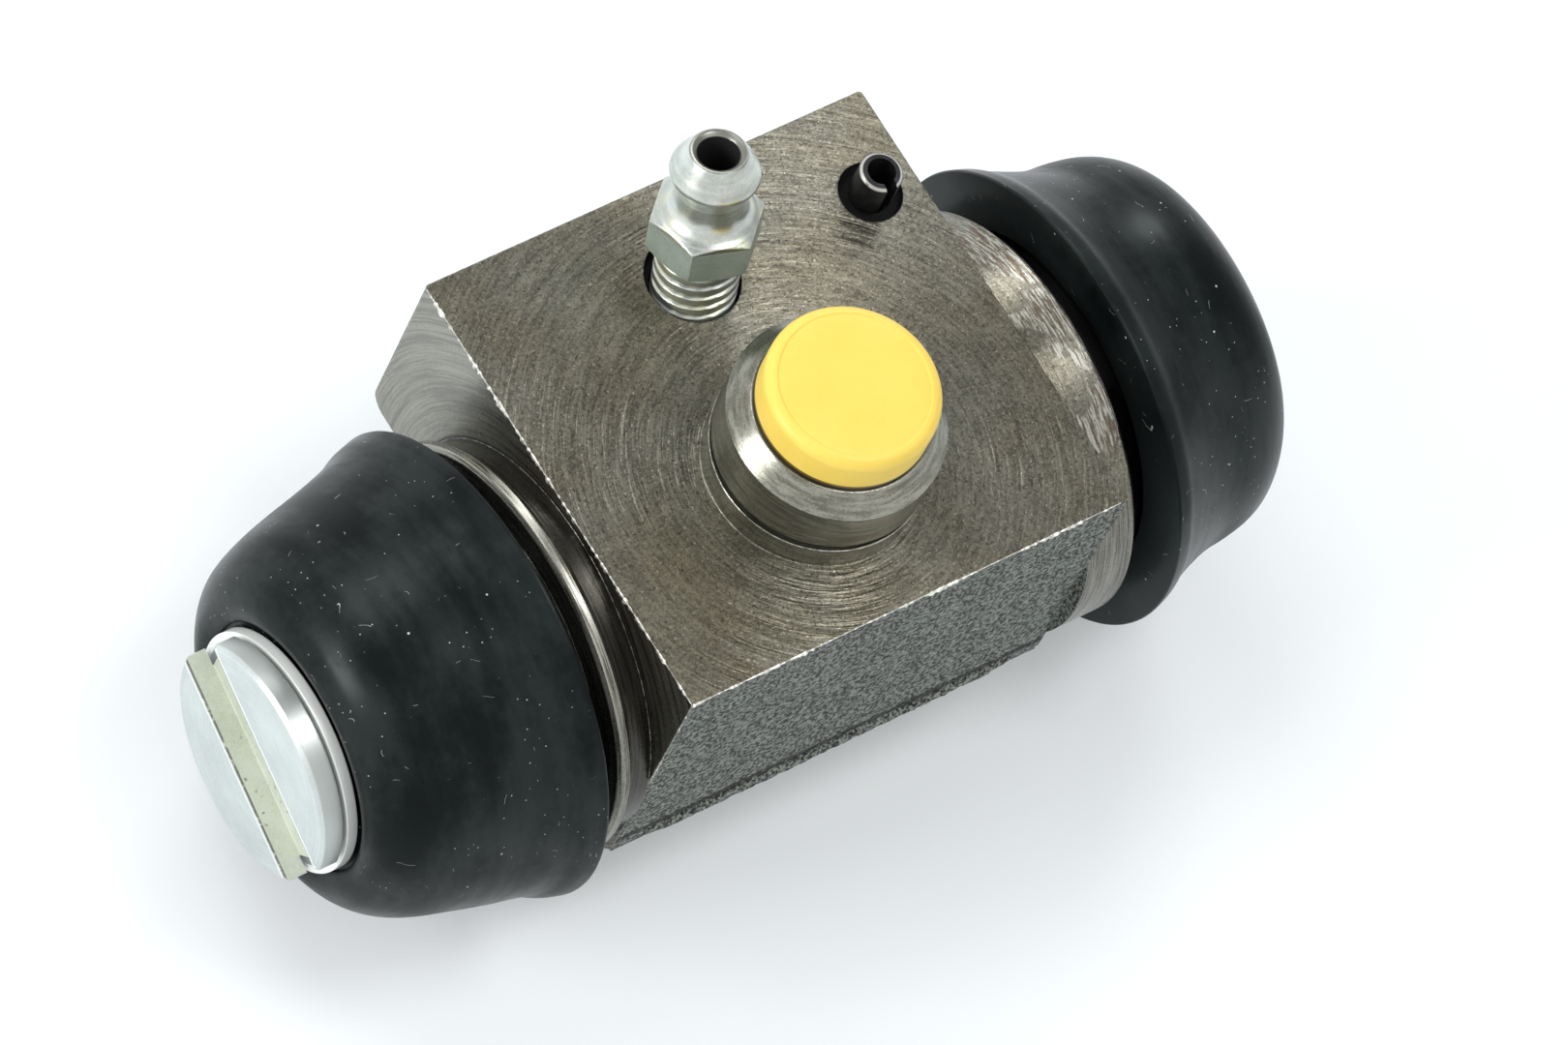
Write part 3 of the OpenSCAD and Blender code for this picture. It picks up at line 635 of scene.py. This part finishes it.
screw_zinc, screw_shader, place = new_finish("zinc_plated_screw")
x, y, z = axes_of(place)
along = (y - screw_base.y) * math.sin(screw_lean) + z * math.cos(screw_lean)
aside = (y - screw_base.y) * math.cos(screw_lean) - z * math.sin(screw_lean)
from_screw = span(x - screw_base.x, aside) + 0.01
cloud = place.grain(0.5, 3, 0.6)
fine = place.grain(5, 3, 0.7)
lines = tool_marks(x - screw_base.x, aside, from_screw, along + from_screw, 0.6, 6)
zinc = (cloud * 0.4 + lines * 0.4 + fine * 0.2).rise(0.36, 0.64).tint(
    (0.42, 0.45, 0.41), (0.65, 0.69, 0.66))
zinc = (cloud.rise(0.48, 0.60) * along.rise(9.5, 7.2) * 0.8).tint(zinc, (0.60, 0.62, 0.48))
# Painted shade: the thread's valleys are darkened.
zinc = (from_screw.rise(2.86, 2.68) * (along < 3.7)).tint(zinc, (0.20, 0.20, 0.15))
on_flat = (from_screw > 3.3) * (along < 7.0)
flat = (cloud * 0.5 + fine * 0.5).rise(0.36, 0.64).tint((0.27, 0.325, 0.27), (0.36, 0.415, 0.355))
zinc = on_flat.tint(zinc, flat)
# Painted shade: the countersunk mouth of the nipple is darkened.
zinc = ((along > 13.1) * (from_screw < 2.0) * 0.85).tint(zinc, (0.20, 0.20, 0.17))
rounded, edge = edge_wear_and_highlight(place, 0.10)
# Painted highlight: the screw's edges are lightened near white.
zinc = (edge * 0.6).tint(zinc, (0.92, 0.93, 0.90))
# Painted shade: the drilled bore, and the thread going down into its hole, fade to black.
painted_bore_shade = ((from_screw < 1.55) * (along < 13.25)) | along.rise(-0.45, -1.1)
painted_bore_shade.tint(zinc, (0.006, 0.006, 0.006)).feed(screw_shader, "Base Color")
(0.92 - (painted_bore_shade | on_flat * 0.6) * 0.9).feed(screw_shader, "Metallic")
(0.22 + fine * 0.10 + cloud * 0.08 + painted_bore_shade * 0.4 + on_flat * 0.2).feed(screw_shader, "Roughness")
relief(screw_shader, lines * 0.5 + fine * 0.2, 0.03, 0.4, rounded)
form = turned_form(screw_rings, screw_turns, screw_stand, hex_turn)
screw = new_piece("bleed_screw_turned", form, screw_zinc)
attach(screw, "bleed_screw_body")
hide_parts("bleed_screw")

# Spring pin: a strip of spring steel rolled into a tube with an open slit, black from the oil quench.
# It is driven into the flange and keys the cylinder against turning.
black_oxide, oxide_shader, place = new_finish("black_oxide", Specular_IOR_Level=0.45)
x, y, z = axes_of(place)
oil = place.grain(1.6, 4, 0.65)
rounded = edge_wear_and_highlight(place, 0.08)[0]
from_pin = span(x - pin_mouth[0], y - pin_mouth[1])
bright = z.rise(2.74, 2.82) * from_pin.rise(1.29, 1.36) * oil.rise(0.25, 0.45)
oxide = oil.rise(0.35, 0.65).tint((0.007, 0.007, 0.008), (0.024, 0.025, 0.027))
bright.tint(oxide, (0.60, 0.59, 0.56)).feed(oxide_shader, "Base Color")
(0.30 + bright * 0.6).feed(oxide_shader, "Metallic")
(0.32 + oil * 0.18).feed(oxide_shader, "Roughness")
relief(oxide_shader, oil, 0.04, 0.3, rounded)
dress("spring_pin", black_oxide)

# Inlet plug: a yellow moulded plastic plug that keeps dirt out of the inlet until the pipe is fitted.
# Its hollow stem is pressed into the tapped hole, and its head lies on the spigot.
plug_r, plug_top, head_low = 6.125, 11.55, 8.17
stem_r, stem_low, hollow_r, hollow_top = 4.42, 2.17, 3.24, 8.1
plug_round, round_steps, plug_turns = 0.8, 12, 128
plug_profile = [(plug_top - dip, r) for dip, r in (
    (0.04, 0), (0.04, 2.0), (0.03, 3.9), (0.02, 5.0), (0.05, 5.14), (0.06, 5.22), (0.04, 5.30))]
for i in range(round_steps + 1):
    turn = math.pi / 2 * i / round_steps
    plug_profile.append((plug_top - plug_round + plug_round * math.cos(turn),
                         plug_r - plug_round + plug_round * math.sin(turn)))
plug_profile += [(9.4, plug_r), (8.55, plug_r), (8.34, plug_r - 0.03), (8.21, plug_r - 0.12)]
plug_profile += [(head_low, plug_r - 0.28), (head_low, stem_r), (3.0, stem_r), (2.4, 4.25)]
plug_profile += [(stem_low, 4.0), (stem_low, hollow_r), (hollow_top, hollow_r), (hollow_top, 0)]
yellow, yellow_shader, place = new_finish("yellow_plastic", Specular_IOR_Level=0.45)
x, y, z = axes_of(place)
flow = place.grain(0.25, 3, 0.55)
fine = place.grain(5, 2, 0.5)
# The dark line round the foot of the head is partly moulding flash and partly painted shade under the
# head.
foot_shade_and_flash = z.rise(8.74, 8.60) * (span(x, y) > 5.2)
sunny = (flow * 0.7 + fine * 0.3).rise(0.35, 0.65).tint((0.895, 0.645, 0.106), (0.940, 0.680, 0.125))
foot_shade_and_flash.tint(sunny, (0.13, 0.080, 0.014)).feed(yellow_shader, "Base Color")
(0.36 + fine * 0.10).feed(yellow_shader, "Roughness")
relief(yellow_shader, flow * 0.6 + fine * 0.08, 0.1, 0.25)
form = turned_form(plug_profile, plug_turns, Matrix.Identity(4), 0.0)
plug = new_piece("yellow_inlet_plug", form, yellow)
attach(plug, "inlet_plug_body")
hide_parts("inlet_plug")

# Table, light and camera: a white sheet in a white room with a grey ceiling and soft lamps. The
# cylinder lies rolled about its bore in the picture, so the ceiling is not straight above the
# mounting face.
table_half, lamp_distance, room_up = 3, 0.8, (0.0, 0.435, 0.900)
looked_at, camera_distance = Vector((2.88, 1.34, -13.79)), 0.78947
camera_turn, camera_rise, camera_roll = math.radians(-58.50), math.radians(59.23), math.radians(29.45)
table_form = bmesh.new()
bmesh.ops.create_grid(table_form, x_segments=1, y_segments=1, size=table_half)
table_mesh = bpy.data.meshes.new("white_table")
table_form.to_mesh(table_mesh)
table_form.free()
table = bpy.data.objects.new("white_table", table_mesh)
table.location.z = cad_box[0].z
bpy.context.scene.collection.objects.link(table)
paper, paper_shader, place = new_finish("white_paper", Roughness=0.9, Specular_IOR_Level=0.0)
paper_tone = place.grain(0.05, 2, 0.5).tint((0.785, 0.825, 0.848), (0.810, 0.850, 0.873))
paper_tone.feed(paper_shader, "Base Color")


def seen_directly(wire):
    """1 for the rays that show a background: straight to the camera, mirrored, or through glass."""
    camera_ray, mirrored, through = (
        wire.node("LightPath", {}, {}, "Is %s Ray" % kind)
        for kind in ("Camera", "Glossy", "Transmission"))
    return camera_ray | mirrored | through


glow = place.node("Emission", {}, {"Color": (1, 1, 1, 1), "Strength": 0.19})
lit = place.node("AddShader", {}, {0: Wire(paper_shader.outputs[0]), 1: glow})
shown = place.node("MixShader", {}, {0: seen_directly(place), 1: Wire(paper_shader.outputs[0]), 2: lit})
shown.feed(paper.node_tree.nodes["Material Output"], "Surface")
table_mesh.materials.append(paper)

world = bpy.data.worlds.new("studio")
world.use_nodes = True
bpy.context.scene.world = world
sky = Wire(world.node_tree.nodes.new("ShaderNodeTexCoord").outputs["Generated"])
upright = sky.node("VectorMath", {"operation": "DOT_PRODUCT"}, {0: sky, 1: room_up}, "Value")
ceiling = upright.rise(0.76, 0.92)
to_right = sky.node("SeparateXYZ", {}, {0: sky}, "X").rise(0.25, 0.75) * upright.rise(0.0, 0.3)
room = (ceiling | to_right * 0.6).tint((1.0, 1.0, 1.0), (0.13, 0.14, 0.15))
soft = sky.node("Background", {}, {"Color": room, "Strength": 0.74})
mirrored = sky.node("Background", {}, {"Color": room, "Strength": 1.0})
white = sky.node("Background", {}, {"Color": (1, 1, 1, 1), "Strength": 1.0})
shown = sky.node("MixShader", {}, {0: seen_directly(sky), 1: soft, 2: mirrored})
to_camera = sky.node("LightPath", {}, {}, "Is Camera Ray")
shown = sky.node("MixShader", {}, {0: to_camera, 1: shown, 2: white})
shown.feed(world.node_tree.nodes["World Output"], "Surface")


def soft_lamp(name, direction, size, power):
    """A square soft lamp that looks at the housing's middle."""
    lamp = bpy.data.lights.new(name, "AREA")
    lamp.shape, lamp.size, lamp.energy = "SQUARE", size, power
    stand = bpy.data.objects.new(name, lamp)
    middle = Vector((0, bore_y, bore_z)) / 1000
    aim = Vector(direction).normalized()
    stand.location = middle + aim * lamp_distance
    stand.rotation_euler = aim.to_track_quat("Z", "Y").to_euler()
    bpy.context.scene.collection.objects.link(stand)


soft_lamp("top_lamp", (-0.15, 0.55, 0.82), 0.40, 1.6)
soft_lamp("left_lamp", (-0.86, 0.22, 0.46), 0.30, 3.1)
soft_lamp("back_lamp", (0.58, 0.59, 0.56), 0.26, 1.3)
soft_lamp("front_lamp", (0.255, -0.15, 0.955), 0.26, 1.5)

camera = bpy.data.objects.new("camera", bpy.data.cameras.new("camera"))
camera.data.lens, camera.data.sensor_width, camera.data.clip_start = 266.67, 36, 0.05
aim = Matrix.Translation(looked_at / 1000)
turn = Matrix.Rotation(camera_turn, 4, "Z") @ Matrix.Rotation(math.pi / 2 - camera_rise, 4, "X")
roll = Matrix.Rotation(camera_roll, 4, "Z")
camera.matrix_world = aim @ turn @ roll @ Matrix.Translation((0, 0, camera_distance))
bpy.context.scene.collection.objects.link(camera)
bpy.context.scene.camera = camera
bpy.context.scene.view_settings.view_transform = "Standard"
